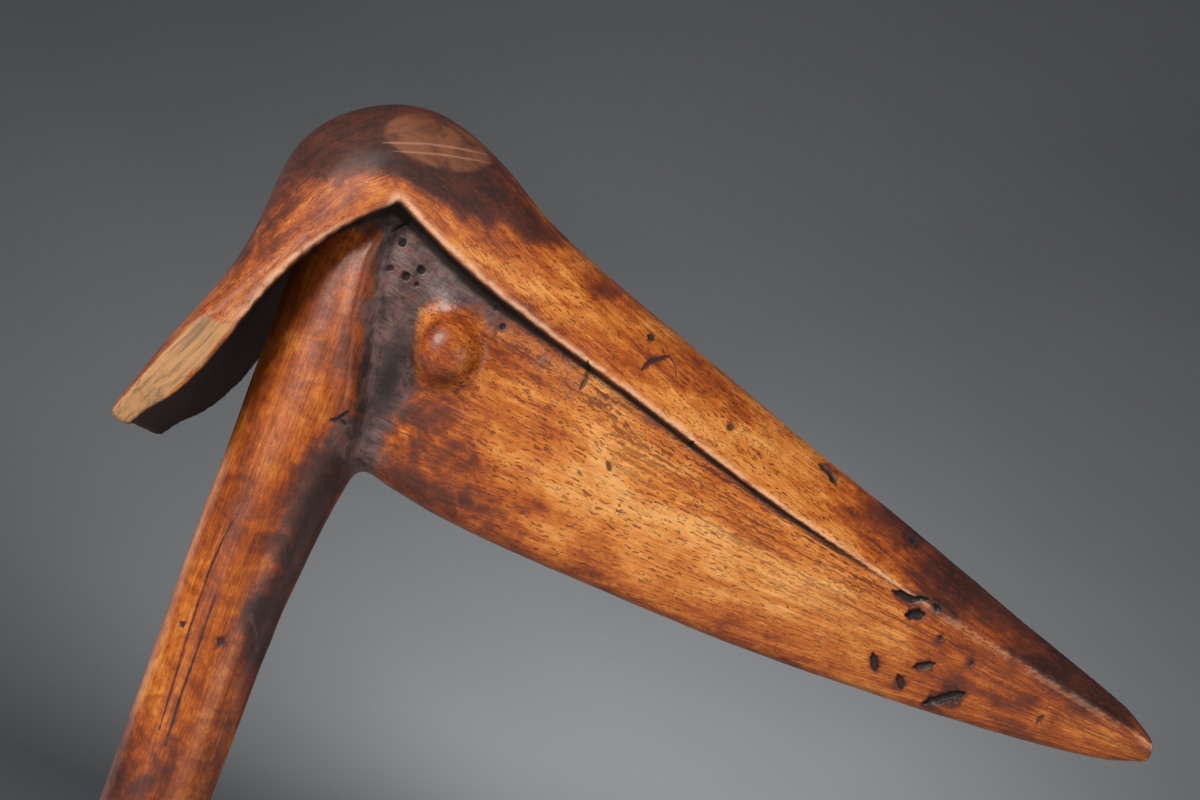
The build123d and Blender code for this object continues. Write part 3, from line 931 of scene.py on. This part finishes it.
def camera():
    level = math.cos(CAMERA_UP)
    towards = Vector((math.sin(CAMERA_SIDE) * level, -math.cos(CAMERA_SIDE) * level, math.sin(CAMERA_UP)))
    made = bpy.data.objects.new("camera", bpy.data.cameras.new("camera"))
    bpy.context.scene.collection.objects.link(made)
    made.data.lens = CAMERA_LENS
    made.data.clip_end = CAMERA_REACH
    upright = towards.to_track_quat("Z", "Y").to_matrix().to_4x4()
    stand = Matrix.Translation(VIEW_CENTRE + CAMERA_AWAY * towards)
    made.matrix_world = stand @ upright @ Matrix.Rotation(CAMERA_ROLL, 4, "Z")
    bpy.context.scene.camera = made


def soft_light(name, place, size, watts, target, tint):
    lamp = bpy.data.lights.new(name, "AREA")
    lamp.size, lamp.energy, lamp.color = size, watts, tint
    made = bpy.data.objects.new(name, lamp)
    bpy.context.scene.collection.objects.link(made)
    made.location = place
    made.visible_camera = False
    made.rotation_euler = (target - Vector(place)).to_track_quat("-Z", "Y").to_euler()


def floor():
    """A pale floor that curves up on all sides into a grey wall."""
    turns = [math.pi / 2 * step / FLOOR_RINGS for step in range(FLOOR_RINGS + 1)]
    profile = [(0.02, 0.0), (FLOOR_RADIUS / 2, 0.0)]
    profile += [(FLOOR_RADIUS + WALL_BEND * math.sin(a), WALL_BEND * (1 - math.cos(a))) for a in turns]
    bearings = [math.tau * step / FLOOR_ROUND for step in range(FLOOR_ROUND)]
    shape = bmesh.new()
    circles = [[shape.verts.new((r * math.cos(t), r * math.sin(t), z)) for t in bearings] for r, z in profile]
    shape.faces.new(circles[0])
    for low, high in zip(circles, circles[1:]):
        for step in range(FLOOR_ROUND):
            after = (step + 1) % FLOOR_ROUND
            shape.faces.new((low[step], low[after], high[after], high[step])).smooth = True
    mesh = bpy.data.meshes.new("floor")
    shape.to_mesh(mesh)
    shape.free()
    made = bpy.data.objects.new("floor", mesh)
    bpy.context.scene.collection.objects.link(made)
    g = Graph("floor_paper")
    place = g.node("TexCoord").outputs["Object"]
    up = g.node("SeparateXYZ", place).outputs["Z"]
    cloud = g.noise(place, (1.6, 1.6, 1.6), 3, 0.5)
    grey = g.colour(g.rise(cloud, 0.3, 0.7), *WALL_GREYS)
    g.put(g.shader.inputs["Base Color"], g.colour(g.rise(up, 0.0, 0.08), FLOOR_PALE, grey))
    g.shader.inputs["Roughness"].default_value = FLOOR_ROUGHNESS
    mesh.materials.append(g.material)


def studio():
    scene = bpy.context.scene
    scene.view_settings.view_transform = "Standard"
    scene.world = bpy.data.worlds.new("room")
    scene.world.use_nodes = True
    background = scene.world.node_tree.nodes["Background"]
    background.inputs["Color"].default_value = ROOM_TINT
    background.inputs["Strength"].default_value = ROOM_STRENGTH
    for light in LIGHTS:
        soft_light(*light)
    floor()
    camera()


def club():
    """All the pieces of the carving, each standing for its CAD node."""
    corners, triangles, owners = joined_nodes()
    tree = BVHTree.FromPolygons(corners.tolist(), triangles.tolist())
    skin = remeshed(corners, triangles.tolist(), VOXEL)
    points, faces, fields = carve(skin, tree, owners)
    normals = normals_of(skin, points)
    carving = BVHTree.FromPolygons(points.tolist(), [tuple(face.vertices) for face in skin.polygons])
    woods = {name: carved_wood(name, *strengths) for name, strengths in WOODS.items()}
    slots = {part["node"]: part["material_slot"] for part in frame["record"]["subparts"]}
    for name in REGIONS:
        mesh = region_mesh(name, skin, points, normals, faces, fields, carving)
        mesh.materials.append(woods[slots[name]])
        piece = bpy.data.objects.new("carved_" + name, mesh)
        bpy.context.scene.collection.objects.link(piece)
        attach(piece, "root")
        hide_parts(name)
    bpy.data.meshes.remove(skin)


club()
studio()
